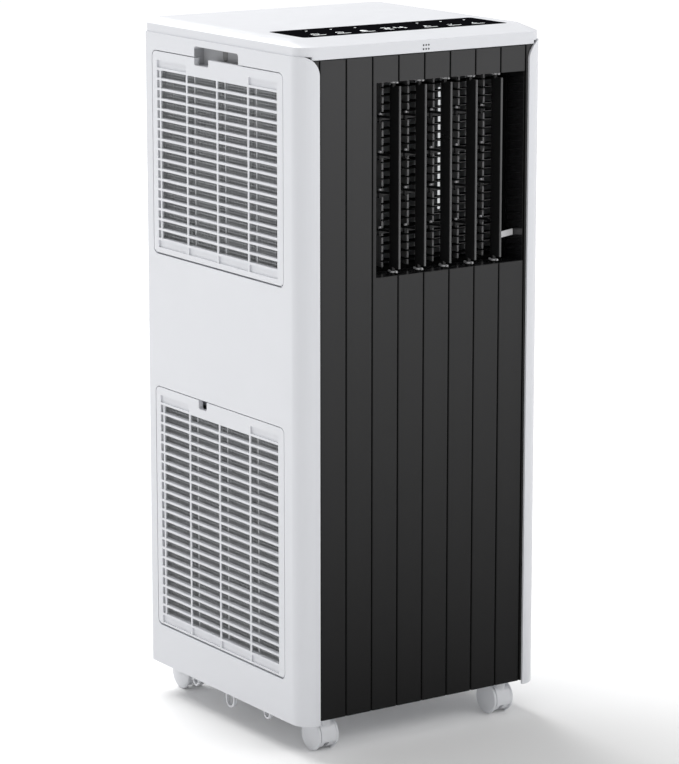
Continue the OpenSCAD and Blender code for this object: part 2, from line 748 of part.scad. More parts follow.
evap_y = 40;
evap_z = 558;
evap_r = 95;
evap_wheel_r = 68;
evap_hx0 = -60;
evap_hx1 = 121;
guide_offset = 24;
module evap_plan(inset) union() {
  translate([evap_y, evap_z]) circle(r = evap_r - inset, $fn = 96);
  translate([duct_y1 + 0.2 - (inset > 0 ? cut : 0), evap_z - evap_r + inset])
    square([evap_y - duct_y1, 2 * (evap_r - inset)]);
}

module evaporator_blower_housing() color(GREY) union() {
  difference() {
    plate_x(evap_hx0, evap_hx1 - evap_hx0) evap_plan(0);
    plate_x(evap_hx0 + wall, evap_hx1 - evap_hx0 - 2 * wall) evap_plan(wall);
    rod_x(evap_hx0 - cut, evap_y, evap_z, wall + 2 * cut, 58);
  }
  // Guide plates in the mouth
  for (i = [1:4]) box([vane_x(i) + guide_offset, duct_y1 + 1, evap_z - evap_r + cut],
                      [vane_x(i) + guide_offset + 1.5, duct_y1 + 20, evap_z + evap_r - cut]);
}

module evaporator_fan() color(DARK) translate([0, evap_y, evap_z])
  blower_wheel(-44, 70, evap_wheel_r, 30, 96);
module evaporator_motor() color(METAL) translate([0, evap_y, evap_z]) fan_motor(78, 118.3, 38);

cond_y = 5;
cond_z = 185;
cond_r = 98;
cond_wheel_r = 72;
cond_hx0 = -92;
cond_hx1 = 15;
duct_z0 = 259;
module cond_plan(inset) union() {
  translate([cond_y, cond_z]) circle(r = cond_r - inset, $fn = 96);
  translate([cond_y + inset, cond_z])
    square([cond_r - 2 * inset, duct_z0 - cond_z + (inset > 0 ? 40 : 0)]);
}

module condenser_blower_housing() color(GREY) difference() {
  union() {
    plate_x(cond_hx0, cond_hx1 - cond_hx0) intersection() {
      cond_plan(0);
      translate([-200, 0]) square([400, duct_z0 + 30]);
    }
    for (y = [-45, 35]) box([cond_hx0 + 10, y, pan_z0 + 7.5], [cond_hx1 - 10, y + 4, cond_z - 80]);
  }
  plate_x(cond_hx0 + wall, cond_hx1 - cond_hx0 - 2 * wall) cond_plan(wall);
  box([cond_hx0 - cut, exhaust_y0, duct_z0], [cond_hx1 + cut, 200, duct_z0 + 60]);
  rod_x(cond_hx0 - cut, cond_y, cond_z, wall + 2 * cut, 62);
}

module condenser_fan() color(DARK) translate([0, cond_y, cond_z])
  blower_wheel(-82, -34, cond_wheel_r, 30, -6);
module condenser_motor() color(METAL) translate([0, cond_y, cond_z]) fan_motor(-26, 12.3, 32);

// ---- Trays, electrical parts, exhaust and cord ----

tray_z = 445;
tray_y1 = 136;
module drain_tray() color(GREY) difference() {
  union() {
    box([-127, -96, tray_z], [134, tray_y1, tray_z + 12]);
    rod_y(drain_x, 116.5, drain_up_z, tray_y1 - 116.5, drain_r + 3);
  }
  box([-125, -94, tray_z + 2.5], [132, 127, tray_z + 13]);
  box([66, 126, tray_z + 2.5], [132, 134.5, tray_z + 13]);
  rod_y(drain_x, 110, drain_up_z, 30, drain_r + fit_clear);
}

module electrical_box() color(METAL) difference() {
  box([74, 30, 100], [134, 132, 240]);
  box([72, 32, 102], [132, 130, 238]);
}

module run_capacitor() color(METAL) union() {
  rod_z(104, 80, 240.2, 58, 17);
  rod_z(104, 80, 240.2, 5, 20);
  for (s = [-1, 1]) box([103, 80 + s * 7 - 3, 298], [104, 80 + s * 7 + 3, 308]);
}

duct_x0 = port_x - 78;
duct_x1 = port_x + 78;
exhaust_y0 = 16;
exhaust_y1 = 117;
exhaust_z1 = port_z + 78;
module exhaust_duct() color(GREY) difference() {
  box([duct_x0, exhaust_y0, duct_z0], [duct_x1, exhaust_y1, exhaust_z1]);
  box([duct_x0 + wall, exhaust_y0 + wall, duct_z0 + wall],
      [duct_x1 - wall, exhaust_y1 - wall, exhaust_z1 - wall]);
  rod_y(port_x, exhaust_y1 - 2 * wall, port_z, 3 * wall, port_r + 2);
  box([cond_hx0 + wall, cond_y + 14, duct_z0 - cut], [cond_hx1 - wall, cond_y + cond_r - wall,
      duct_z0 + 2 * wall]);
}

module exhaust_collar() color(GREY) difference() {
  union() {
    rod_y(port_x, exhaust_y1 + 0.1, port_z, hd - exhaust_y1 - 0.6, port_r + port_wall);
    rod_y(port_x, rear_y - 5, port_z, 4.7, port_r + 9);
  }
  rod_y(port_x, exhaust_y1 - cut, port_z, 40, port_r);
}

module cord_gland() color(DARK) difference() {
  union() {
    rod_y(cord_x - 3, rear_y - 20, cord_z, 20, 8);
    rod_y(cord_x - 3, rear_y - 11.8, cord_z, 2, 11);
    rod_y(cord_x - 3, rear_y - 18, cord_z, 3.8, 11);
  }
  rod_y(cord_x - 3, rear_y - 21, cord_z, 22, cord_r);
}

module drain_plug(z) color(DARK) union() {
  rod_y(drain_x, rear_y - cup_depth + 2 * wall + 0.1, z, 3, 10);
  rod_y(drain_x, rear_y - 18, z, 20, drain_r);
}
module drain_plug_upper() drain_plug(drain_up_z);
module drain_plug_lower() drain_plug(drain_low_z);

// ---- Casters, drawn with the stem on the Z axis ----

axle_r = 2;
tread_r = wheel_r - 2;
hood_in = tread_r + 0.7;
hood_out = wheel_r + 0.3;
hood_w = caster_w - 8;
flange_in = hood_w / 2 + 0.4;
web_t = 4;
hood_a0 = 35;
hood_a1 = 200;

// The hood over both wheels, the web between them, and the stem
module caster_fork() difference() {
  union() {
    intersection() {
      rod_x(-hood_w / 2, trail, wheel_r, hood_w, hood_out);
      plate_x(-caster_w, 2 * caster_w)
        polygon(concat([[trail, wheel_r]], arc(trail, wheel_r, 2 * hood_out, hood_a0, hood_a1, 5)));
    }
    rod_x(-web_t / 2, trail, wheel_r, web_t, 8);
    rod_z(0, 0, wheel_r, ground - wheel_r + 3.9, 6);
    rod_z(0, 0, wheel_r, stem_top - wheel_r - 0.4, stem_r);
  }
  for (x = [web_t / 2, -caster_w / 2 - cut]) rod_x(x, trail, wheel_r, (caster_w - web_t) / 2 + cut, hood_in);
  rod_x(-web_t, trail, wheel_r, 2 * web_t, axle_r + 0.02);
}

module caster_axle() rod_x(-caster_w / 2 + 2, trail, wheel_r, caster_w - 4, axle_r);

// A wheel with a tread that runs under the hood, and a domed flange outside it
module caster_wheel(side) translate([0, trail, wheel_r]) rotate([0, side * 90, 0])
  rotate_extrude() difference() {
    polygon(concat(
      [[0, web_t / 2 + 0.4], [tread_r, web_t / 2 + 0.4], [tread_r, flange_in], [wheel_r, flange_in]],
      arc(wheel_r - 1.6, caster_w / 2 - 2.2, 1.6, 0, 60, 4), [[9, caster_w / 2 - 0.15], [0, caster_w / 2]]));
    square([axle_r + fit_clear, caster_w / 2 - 1.9]);
  }

module caster(x, y, piece) translate([x, y, 0]) color(GREY) {
  if (piece == "fork") caster_fork();
  if (piece == "axle") caster_axle();
  if (piece == "wheel_a") caster_wheel(-1);
  if (piece == "wheel_b") caster_wheel(1);
}

// ---- Nodes ----

base_pan();
left_side_panel();
right_side_panel();
rear_cover();
top_cover();
front_panel();
casing_screws();
control_glass();
control_board();
outlet_duct();
outlet_grille();
swing_motor();
for (i = [1:vanes]) vane(i);
vane_link_bars();
upper_grille_cover();
upper_air_filter();
lower_grille_cover();
lower_air_filter();
evaporator_coil();
condenser_coil();
compressor();
compressor_feet();
suction_line();
discharge_line();
liquid_line();
filter_drier();
evaporator_blower_housing();
evaporator_fan();
evaporator_motor();
condenser_blower_housing();
condenser_fan();
condenser_motor();
drain_tray();
electrical_box();
run_capacitor();
exhaust_duct();
exhaust_collar();
cord_gland();
drain_plug_upper();
drain_plug_lower();
for (end = [["front", caster_front_y], ["rear", caster_rear_y]],
     side = [["left", -caster_x], ["right", caster_x]], piece = ["fork", "axle", "wheel_a", "wheel_b"])
  caster(side[1], end[1], piece);
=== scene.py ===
import json
import math

import bmesh
import bpy
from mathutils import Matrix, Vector


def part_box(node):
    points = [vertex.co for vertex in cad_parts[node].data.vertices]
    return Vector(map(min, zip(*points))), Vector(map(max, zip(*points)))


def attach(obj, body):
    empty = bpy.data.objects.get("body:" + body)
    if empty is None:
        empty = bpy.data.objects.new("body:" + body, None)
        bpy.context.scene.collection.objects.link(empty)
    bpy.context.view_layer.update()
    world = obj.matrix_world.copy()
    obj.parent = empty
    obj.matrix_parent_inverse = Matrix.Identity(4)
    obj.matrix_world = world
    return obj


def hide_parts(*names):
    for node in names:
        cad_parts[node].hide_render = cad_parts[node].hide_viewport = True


# Looks for a portable air conditioner: materials, rounded edges and fine pieces around the
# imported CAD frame. Metres, +Z up, the front faces -Y and +X is to the right.

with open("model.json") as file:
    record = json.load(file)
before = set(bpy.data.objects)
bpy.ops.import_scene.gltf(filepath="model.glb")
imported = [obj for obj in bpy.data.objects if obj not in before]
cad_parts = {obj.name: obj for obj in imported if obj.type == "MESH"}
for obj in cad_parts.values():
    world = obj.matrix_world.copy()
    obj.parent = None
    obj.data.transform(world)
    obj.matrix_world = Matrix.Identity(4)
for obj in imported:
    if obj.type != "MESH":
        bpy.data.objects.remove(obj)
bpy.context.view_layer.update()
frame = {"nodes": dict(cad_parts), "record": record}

MM = 0.001

WELD_GAP = 0.002 * MM              # vertices nearer than this become one
FLAT_ANGLE = math.radians(0.6)     # faces flatter than this become one
EDGE_ANGLE = math.radians(40)      # edges sharper than this are rounded
SHADE_ANGLE = math.radians(35)     # unrounded pieces keep edges sharper than this

# Noise scales and depths for the moulded and the bare surfaces
CLOUD_SCALE, PATCH_SCALE, GRAIN_SCALE = 9, 60, 2200
STREAK_SCALE, MOTTLE_SCALE = 500, 700
GRAIN_DEPTH, STREAK_DEPTH = 0.1 * MM, 0.05 * MM


# ---- Mesh building ----

def add_box(bm, lo, hi):
    """A closed box between two corners."""
    lo, hi = Vector(lo), Vector(hi)
    corners = [bm.verts.new((x, y, z)) for z in (lo.z, hi.z) for y in (lo.y, hi.y) for x in (lo.x, hi.x)]
    for face in ((0, 2, 3, 1), (4, 5, 7, 6), (0, 1, 5, 4), (2, 6, 7, 3), (0, 4, 6, 2), (1, 3, 7, 5)):
        bm.faces.new([corners[i] for i in face])


def add_tube(bm, path, radius, sides=12):
    """A round rod swept along a path of points, with flat ends."""
    path = [Vector(p) for p in path]
    steps = [path[min(i + 1, len(path) - 1)] - path[max(i - 1, 0)] for i in range(len(path))]
    tangent = steps[0].normalized()
    side = tangent.orthogonal().normalized()
    rings = []
    for point, step in zip(path, steps):
        turn = tangent.rotation_difference(step.normalized())
        side = turn @ side
        tangent = step.normalized()
        up = tangent.cross(side)
        rings.append([bm.verts.new(point + radius * (math.cos(a) * side + math.sin(a) * up))
                      for a in (2 * math.pi * k / sides for k in range(sides))])
    for low, high in zip(rings, rings[1:]):
        for k in range(sides):
            bm.faces.new((low[k], low[(k + 1) % sides], high[(k + 1) % sides], high[k]))
    bm.faces.new(rings[0][::-1])
    bm.faces.new(rings[-1])


def add_lathe(bm, profile, place, axis, sides=32):
    """A solid of revolution. The profile's points are (distance along the axis, radius). Its ends
    are closed with flat discs, unless the profile comes back to its start."""
    axis = Vector(axis).normalized()
    side = axis.orthogonal().normalized()
    up = axis.cross(side)
    rings = []
    for along, radius in profile:
        centre = Vector(place) + axis * along
        rings.append([bm.verts.new(centre + radius * (math.cos(a) * side + math.sin(a) * up))
                      for a in (2 * math.pi * k / sides for k in range(sides))])
    for low, high in zip(rings, rings[1:]):
        for k in range(sides):
            bm.faces.new((low[k], low[(k + 1) % sides], high[(k + 1) % sides], high[k]))
    if profile[0] != profile[-1]:
        bm.faces.new(rings[0][::-1])
        bm.faces.new(rings[-1])


def add_grid_plate(bm, ys, zs, x0, x1, solid):
    """A plate across X, cut into a grid along Y and Z; solid(i, j) says which cells are filled."""
    corner = {}

    def vert(i, j, x):
        key = (i, j, x)
        if key not in corner:
            corner[key] = bm.verts.new((x, ys[i], zs[j]))
        return corner[key]

    filled = {(i, j) for i in range(len(ys) - 1) for j in range(len(zs) - 1) if solid(i, j)}
    for i, j in filled:
        ring = ((i, j), (i + 1, j), (i + 1, j + 1), (i, j + 1))
        bm.faces.new([vert(*c, x1) for c in ring])
        bm.faces.new([vert(*c, x0) for c in reversed(ring)])
        neighbours = ((i, j - 1), (i + 1, j), (i, j + 1), (i - 1, j))
        for k, beside in enumerate(neighbours):
            if beside not in filled:
                a, b = ring[k], ring[(k + 1) % 4]
                bm.faces.new((vert(*a, x0), vert(*b, x0), vert(*b, x1), vert(*a, x1)))


def add_prism(bm, outline, z0, z1):
    """A flat shape in X and Y with a thickness along Z."""
    low = [bm.verts.new((x, y, z0)) for x, y in outline]
    high = [bm.verts.new((x, y, z1)) for x, y in outline]
    bm.faces.new(low[::-1])
    bm.faces.new(high)
    for k in range(len(outline)):
        n = (k + 1) % len(outline)
        bm.faces.new((low[k], low[n], high[n], high[k]))


def soften(obj, width):
    """Rounds an object's edges and blends its shading across flat faces."""
    weld = obj.modifiers.new("weld", "WELD")
    weld.merge_threshold = WELD_GAP
    flat = obj.modifiers.new("flat", "DECIMATE")
    flat.decimate_type = "DISSOLVE"
    flat.angle_limit = FLAT_ANGLE
    bevel = obj.modifiers.new("bevel", "BEVEL")
    bevel.width = width
    bevel.segments = 2
    bevel.limit_method = "ANGLE"
    bevel.angle_limit = EDGE_ANGLE
    bevel.use_clamp_overlap = True
    bevel.harden_normals = False
    normals = obj.modifiers.new("normals", "WEIGHTED_NORMAL")
    normals.weight = 80
    normals.keep_sharp = False


def piece(name, bm, material, body, replaces=(), width=0.0):
    """Turns a bmesh into a finished piece that rides on a CAD body. A width rounds its edges."""
    bmesh.ops.recalc_face_normals(bm, faces=bm.faces)
    mesh = bpy.data.meshes.new(name)
    bm.to_mesh(mesh)
    bm.free()
    mesh.shade_smooth()
    obj = bpy.data.objects.new(name, mesh)
    bpy.context.scene.collection.objects.link(obj)
    mesh.materials.append(material)
    if width:
        soften(obj, width)
    else:
        mesh.set_sharp_from_angle(angle=SHADE_ANGLE)
    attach(obj, body)
    if replaces:
        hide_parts(*replaces)


# ---- Materials ----

class Nodes:
    """A short way to build a material's node tree."""

    def __init__(self, name):
        self.material = bpy.data.materials.new(name)
        self.material.use_nodes = True
        self.tree = self.material.node_tree
        self.shader = self.tree.nodes["Principled BSDF"]
        self.place = self.add("ShaderNodeTexCoord").outputs["Object"]

    def add(self, kind, **values):
        node = self.tree.nodes.new(kind)
        for key, value in values.items():
            setattr(node, key, value)
        return node

    def link(self, source, target):
        self.tree.links.new(source, target)

    def noise(self, scale, detail=2.0, stretch=(1, 1, 1)):
        """A noise texture in the object's own space, from 0 to 1."""
        mapping = self.add("ShaderNodeMapping")
        mapping.inputs["Scale"].default_value = stretch
        self.link(self.place, mapping.inputs["Vector"])
        noise = self.add("ShaderNodeTexNoise")
        noise.inputs["Scale"].default_value = scale
        noise.inputs["Detail"].default_value = detail
        self.link(mapping.outputs["Vector"], noise.inputs["Vector"])
        return noise.outputs["Fac"]

    def ramp(self, source, start, end, low, high):
        """Maps the span from start to end to the span from low to high."""
        node = self.add("ShaderNodeMapRange")
        for socket, value in (("From Min", start), ("From Max", end), ("To Min", low), ("To Max", high)):
            node.inputs[socket].default_value = value
        self.link(source, node.inputs["Value"])
        return node.outputs["Result"]

    def spread(self, source, low, high):
        """Maps a texture's middle range to the span from low to high."""
        return self.ramp(source, 0.3, 0.7, low, high)

    def height(self, start, end):
        """0 at the height start, and 1 at the height end."""
        parts = self.add("ShaderNodeSeparateXYZ")
        self.link(self.place, parts.inputs[0])
        return self.ramp(parts.outputs["Z"], start, end, 0, 1)

    def blend(self, source, low, high):
        """A colour that runs from low to high with a texture."""
        node = self.add("ShaderNodeMix", data_type="RGBA")
        node.inputs[6].default_value = (*low, 1)
        node.inputs[7].default_value = (*high, 1)
        self.link(source, node.inputs["Factor"])
        return node.outputs[2]

    def bump(self, source, strength, distance):
        """Raises and sinks the surface with a texture."""
        node = self.add("ShaderNodeBump")
        node.inputs["Strength"].default_value = strength
        node.inputs["Distance"].default_value = distance
        self.link(source, node.inputs["Height"])
        self.link(node.outputs["Normal"], self.shader.inputs["Normal"])

    def set(self, **values):
        """Sets the shader's inputs by name, with _ for a space."""
        for key, value in values.items():
            self.shader.inputs[key.replace("_", " ")].default_value = value


def moulded_surface(n, rough, grain):
    """Slight unevenness of gloss, and the fine grain of a spark-eroded mould."""
    n.link(n.spread(n.noise(PATCH_SCALE, 3), rough - 0.03, rough + 0.04), n.shader.inputs["Roughness"])
    n.bump(n.noise(GRAIN_SCALE, 2), grain, GRAIN_DEPTH)


def plastic(name, color, rough, specular=0.5, grain=0.06, vary=0.02, ior=1.5):
    """Moulded plastic whose colour varies a little, by the fraction vary."""
    n = Nodes(name)
    tint = n.spread(n.noise(CLOUD_SCALE, 3), 0, 1)
    darker = [c * (1 - vary) for c in color]
    lighter = [min(c * (1 + vary), 1) for c in color]
    n.link(n.blend(tint, darker, lighter), n.shader.inputs["Base Color"])
    moulded_surface(n, rough, grain)
    n.set(Specular_IOR_Level=specular, IOR=ior)
    return n.material


def plank_black_with_painted_light(name, low, high, rough):
    """The front's black plastic with painted light: its colour runs lighter towards the top, where more light
    falls.
    """
    foot, head = 0.04, 0.66
    n = Nodes(name)
    n.link(n.blend(n.height(foot, head), low, high), n.shader.inputs["Base Color"])
    moulded_surface(n, rough, 0.12)
    n.set(Specular_IOR_Level=0.12)
    return n.material


def metal(name, color, rough, stretch=(1, 1, 1), vary=0.06):
    """Bare metal with drawn or rolled streaks."""
    n = Nodes(name)
    streak = n.noise(STREAK_SCALE, 3, stretch)
    n.link(n.blend(n.spread(streak, 0, 1), [c * (1 - vary) for c in color], color),
           n.shader.inputs["Base Color"])
    n.link(n.spread(streak, rough - 0.06, rough + 0.08), n.shader.inputs["Roughness"])
    n.bump(streak, 0.08, STREAK_DEPTH)
    n.set(Metallic=1.0)
    return n.material


def glowing(name, color, glow):
    """A mark that glows, a little uneven across its width: the printed icons lit from behind, and painted
    light on pieces that are no lamps.
    """
    n = Nodes(name)
    mottle = n.spread(n.noise(MOTTLE_SCALE, 2), 0, 1)
    n.link(n.blend(mottle, [c * 0.85 for c in color], color), n.shader.inputs["Base Color"])
    n.set(Emission_Color=(*color, 1), Emission_Strength=glow, Roughness=0.4)
    return n.material


MATERIALS = {
    "casing_white": plastic("casing_white", (0.69, 0.70, 0.73), 0.36, 0.4, 0.05, 0.008),
    # painted light: the front's black runs from near black at the foot to dark grey at the top
    "panel_black": plank_black_with_painted_light("panel_black", (0.008, 0.008, 0.0082), (0.052, 0.052, 0.053), 0.42),
    "vane_black": plastic("vane_black", (0.008, 0.008, 0.0083), 0.3, 0.35, 0.06, 0.05),
    "inner_black": plastic("inner_black", (0.02, 0.02, 0.021), 0.5, 0.4, 0.1, 0.1),
    "touch_glass": plastic("touch_glass", (0.004, 0.004, 0.005), 0.16, 0.0, 0.0, 0.05, 1.0),
    "inner_grey": plastic("inner_grey", (0.42, 0.43, 0.44), 0.5, 0.4, 0.1, 0.03),
    "filter_mesh": plastic("filter_mesh", (0.50, 0.51, 0.52), 0.5, 0.4, 0.1, 0.04),
    "coil_aluminium": metal("coil_aluminium", (0.62, 0.63, 0.64), 0.4, (1, 1, 0.05)),
    "compressor_black": plastic("compressor_black", (0.02, 0.02, 0.022), 0.4, 0.5, 0.2, 0.08),
    "copper": metal("copper", (0.78, 0.42, 0.26), 0.3, (1, 1, 0.1), 0.15),
    "steel": metal("steel", (0.6, 0.61, 0.62), 0.35, (0.2, 1, 1)),
    "board_green": plastic("board_green", (0.02, 0.14, 0.05), 0.3, 0.5, 0.1, 0.1),
    "rubber_black": plastic("rubber_black", (0.02, 0.02, 0.02), 0.7, 0.3, 0.2, 0.1),
    "caster_grey": plastic("caster_grey", (0.70, 0.71, 0.735), 0.38, 0.45, 0.06, 0.015),
}
# white glow of the backlit icons, also painted light on the pale strip in the blower's mouth
ICON_WHITE_AND_PAINTED_GLOW = glowing("icon_white_and_painted_glow", (0.85, 0.87, 0.88), 0.7)
DUCT_GLOSS = plastic("duct_gloss", (0.014, 0.014, 0.015), 0.12, 0.6, 0.0, 0.05)
# painted highlight: grey for the sheen along the black vanes' rounded front edges
NOSE_HIGHLIGHT_GREY = plastic("vane_nose", (0.09, 0.09, 0.092), 0.35, 0.5, 0.05, 0.05)
# grey of the pivot clips, also used on the knobs as a painted highlight on the black pin heads
CLIP_GREY_AND_KNOB_HIGHLIGHT = plastic("clip_grey_and_knob_highlight", (0.42, 0.42, 0.43), 0.3, 0.5, 0.1, 0.08)
# painted shade: near black for the strips in the front's grooves and for the grille's fins and frame
PAINTED_SHADE_BLACK = plastic("painted_shade_black", (0.002, 0.002, 0.002), 0.8, 0.05, 0.1, 0.1)
# painted shade: grey for the inside of the white finger recess
RECESS_SHADE_GREY = plastic("recess_shade_grey", (0.34, 0.345, 0.36), 0.45, 0.3, 0.05, 0.02)
# painted light: a glow on the grey bar in the outlet's last bay
BAR_PAINTED_GLOW = glowing("bar_painted_glow", (0.5, 0.5, 0.51), 0.35)
# grey as painted light and shade: lit faces of the grille's ribs, highlights on its fin fronts, and the
# darker keyhole in the recess
GREY_PAINTED_LIGHT_AND_SHADE = plastic("grey_painted_light_and_shade", (0.17, 0.17, 0.172), 0.45, 0.3, 0.1, 0.1)


def paint_nodes():
    """Gives each CAD node its material by the record's slot, and its rounded edges."""
    edges = {"casing_white": 0.45 * MM, "panel_black": 0.3 * MM, "caster_grey": 0.4 * MM}
    small_edge = 0.2 * MM
    for row in frame["record"]["subparts"]:
        obj = frame["nodes"][row["node"]]
        slot = row["material_slot"]
        obj.data.materials.clear()
        obj.data.materials.append(DUCT_GLOSS if row["node"] == "outlet_duct" else MATERIALS[slot])
        soften(obj, edges.get(slot, small_edge))


# ---- Air filters ----

def filter_pieces(node, body):
    """A filter frame with upright ribs, and its net of fine threads."""
    lo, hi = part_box(node)
    rim, rib = 5 * MM, 2.6 * MM
    rib_middle, rib_pitch = 0.5 * MM, 55.8 * MM
    front = lo.x + 0.5 * MM
    ribs = [rib_middle + k * rib_pitch for k in (-1, 0, 1)]
    ys = [lo.y, lo.y + rim] + [y + s * rib / 2 for y in ribs for s in (-1, 1)] + [hi.y - rim, hi.y]
    zs = [lo.z, lo.z + rim, hi.z - rim, hi.z]
    bm = bmesh.new()
    add_grid_plate(bm, ys, zs, front, hi.x, lambda i, j: i % 2 == 0 or j % 2 == 0)
    piece(node + "_frame", bm, MATERIALS["filter_mesh"], body, (node,), 0.3 * MM)

    pitch, thread, inset = 2.8 * MM, 0.42 * MM, 1 * MM
    upright_x = (front + hi.x) / 2
    cross_x = upright_x + thread
    bm = bmesh.new()
    for k in range(1, int((hi.y - lo.y) / pitch)):
        y = lo.y + k * pitch
        add_tube(bm, [(upright_x, y, lo.z + inset), (upright_x, y, hi.z - inset)], thread, 4)
    for k in range(1, int((hi.z - lo.z) / pitch)):
        z = lo.z + k * pitch
        add_tube(bm, [(cross_x, lo.y + inset, z), (cross_x, hi.y - inset, z)], thread, 4)
    piece(node + "_net", bm, MATERIALS["filter_mesh"], body)


# ---- Coils ----

def coil_pieces(node):
    """A heat exchanger: thin fins between end plates, with copper return bends."""
    lo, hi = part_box(node)
    bend, tube, plate = 7 * MM, 3.5 * MM, 1.5 * MM
    stand_out = plate + bend + tube
    y0, y1 = lo.y + stand_out, hi.y - stand_out

    fin, pitch = 0.18 * MM, 1.9 * MM
    x0, x1 = lo.x + 0.8 * MM, hi.x - 0.8 * MM
    z0, z1 = lo.z + 1 * MM, hi.z - 1 * MM
    bm = bmesh.new()
    for k in range(1, int((y1 - y0) / pitch)):
        y = y0 + k * pitch
        add_box(bm, (x0, y, z0), (x1, y + fin, z1))
    for y in (y0 - plate, y1):
        add_box(bm, (lo.x, y, lo.z), (hi.x, y + plate, hi.z))
    piece(node + "_fins", bm, MATERIALS["coil_aluminium"], "root", (node,))

    reach, steps = 3 * MM, 10
    bm = bmesh.new()
    xs = [lo.x + (hi.x - lo.x) * part for part in (0.3, 0.7)]
    z = z0 + 2 * bend
    while z < z1 - 24 * MM:
        for x in xs:
            for y, way in ((y0 - plate, -1), (y1 + plate, 1)):
                arc = [(x, y + way * bend * math.sin(a), z + bend - bend * math.cos(a))
                       for a in (math.pi * k / steps for k in range(steps + 1))]
                root_y = y - way * reach
                add_tube(bm, [(x, root_y, z), *arc, (x, root_y, z + 2 * bend)], tube, 10)
        z += 4 * bend
    piece(node + "_bends", bm, MATERIALS["copper"], "root")


# ---- Vanes and outlet ----

VANES = range(1, 6)
SWING = math.radians(12)  # how far the vanes stand turned at rest
VANE_BACK = Vector((-math.sin(SWING), math.cos(SWING), 0))
VANE_SIDE = Vector((math.cos(SWING), math.sin(SWING), 0))


# Profiles as (height, radius) in millimetres: a knob, and the ring round a vane's pivot
KNOB = [(0, 0.3), (0, 1.3), (0.4, 1.6), (1.4, 1.6), (2.0, 1.2), (2.2, 0.3)]
PIVOT_RING = [(0, 2.1), (0, 3.1), (0.3, 3.4), (1.5, 3.4), (1.8, 3.1), (1.8, 2.1), (0, 2.1)]


def add_upright(bm, profile, place, sides, widen=1.0):
    """A turned piece that stands upright, from a profile in millimetres."""
    add_lathe(bm, [(along * MM, radius * widen * MM) for along, radius in profile], place, (0, 0, 1), sides)


def vane_pivot(number):
    """The place of a vane's pivot, at Z = 0."""
    name = "vane_%d_swing" % number
    joint = next(j for j in frame["record"]["behaviour"]["joints"] if j["name"] == name)
    x, y = joint["pos_m"][:2]
    return Vector((x, y, 0))


def vane_pieces(number):
    """One vane: its slat with arms and pins, its nose, its knobs and its pivot clips. The nose's grey is a
    painted highlight along the black front edge, and the knobs' grey a painted highlight on the black pin
    heads.
    """
    body = "vane_%d" % number
    lo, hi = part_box(body)
    pivot = vane_pivot(number)
    low, high = lo.z + 9 * MM, hi.z - 8 * MM
    front, back, half = -8.4 * MM, 4 * MM, 1 * MM
    link, link_pitch, links = 18 * MM, 36.4 * MM, 4
    middle = (lo.z + hi.z) / 2
    levels = [middle + (k - (links - 1) / 2) * link_pitch for k in range(links)]

    def at(along, z):
        """A point on the vane's middle plane, at a distance behind its pivot."""
        return pivot + VANE_BACK * along + Vector((0, 0, z))

    arm_half, arm_foot, arm_top = 1.5 * MM, 1.6 * MM, 3.8 * MM
    bm = bmesh.new()
    add_box(bm, (-half, front, low), (half, back, high))
    for z in levels:
        add_box(bm, (-arm_half, back - 1 * MM, z + arm_foot), (arm_half, link + arm_half, z + arm_top))
    for vert in bm.verts:
        vert.co = pivot + VANE_SIDE * vert.co.x + VANE_BACK * vert.co.y + Vector((0, 0, vert.co.z))
    pin, head, pivot_pin = 1 * MM, 2 * MM, 2 * MM
    for z in levels:
        foot = z - 3.2 * MM
        add_tube(bm, [at(link, foot), at(link, z + 2 * MM)], pin, 12)
        add_tube(bm, [at(link, foot), at(link, foot + 1.6 * MM)], head, 16)
    for start, end in ((lo.z, low + 1 * MM), (high - 1 * MM, hi.z)):
        add_tube(bm, [at(0, start), at(0, end)], pivot_pin, 20)
    piece(body + "_slat", bm, MATERIALS["vane_black"], body, (body,), 0.2 * MM)

    # The nose's grey is a painted highlight along the vane's black front edge
    nose = 1.1 * MM
    bm = bmesh.new()
    add_tube(bm, [at(front, low), at(front, high)], nose, 16)
    piece(body + "_nose", bm, NOSE_HIGHLIGHT_GREY, body)

    # The knobs' grey is a painted highlight on the black pin heads
    bm = bmesh.new()
    for z in levels:
        add_upright(bm, KNOB, at(link - 0.6 * MM, z + 3.7 * MM), 16)
    piece(body + "_knob_highlights", bm, CLIP_GREY_AND_KNOB_HIGHLIGHT, body)

    bm = bmesh.new()
    for z in (low - 4.4 * MM, high + 2.6 * MM):
        add_upright(bm, PIVOT_RING, at(0, z), 24)
        for along in (-4.6 * MM, 5 * MM):
            add_upright(bm, KNOB, at(along, z), 12, 0.8)
    piece(body + "_clips", bm, CLIP_GREY_AND_KNOB_HIGHLIGHT, body)


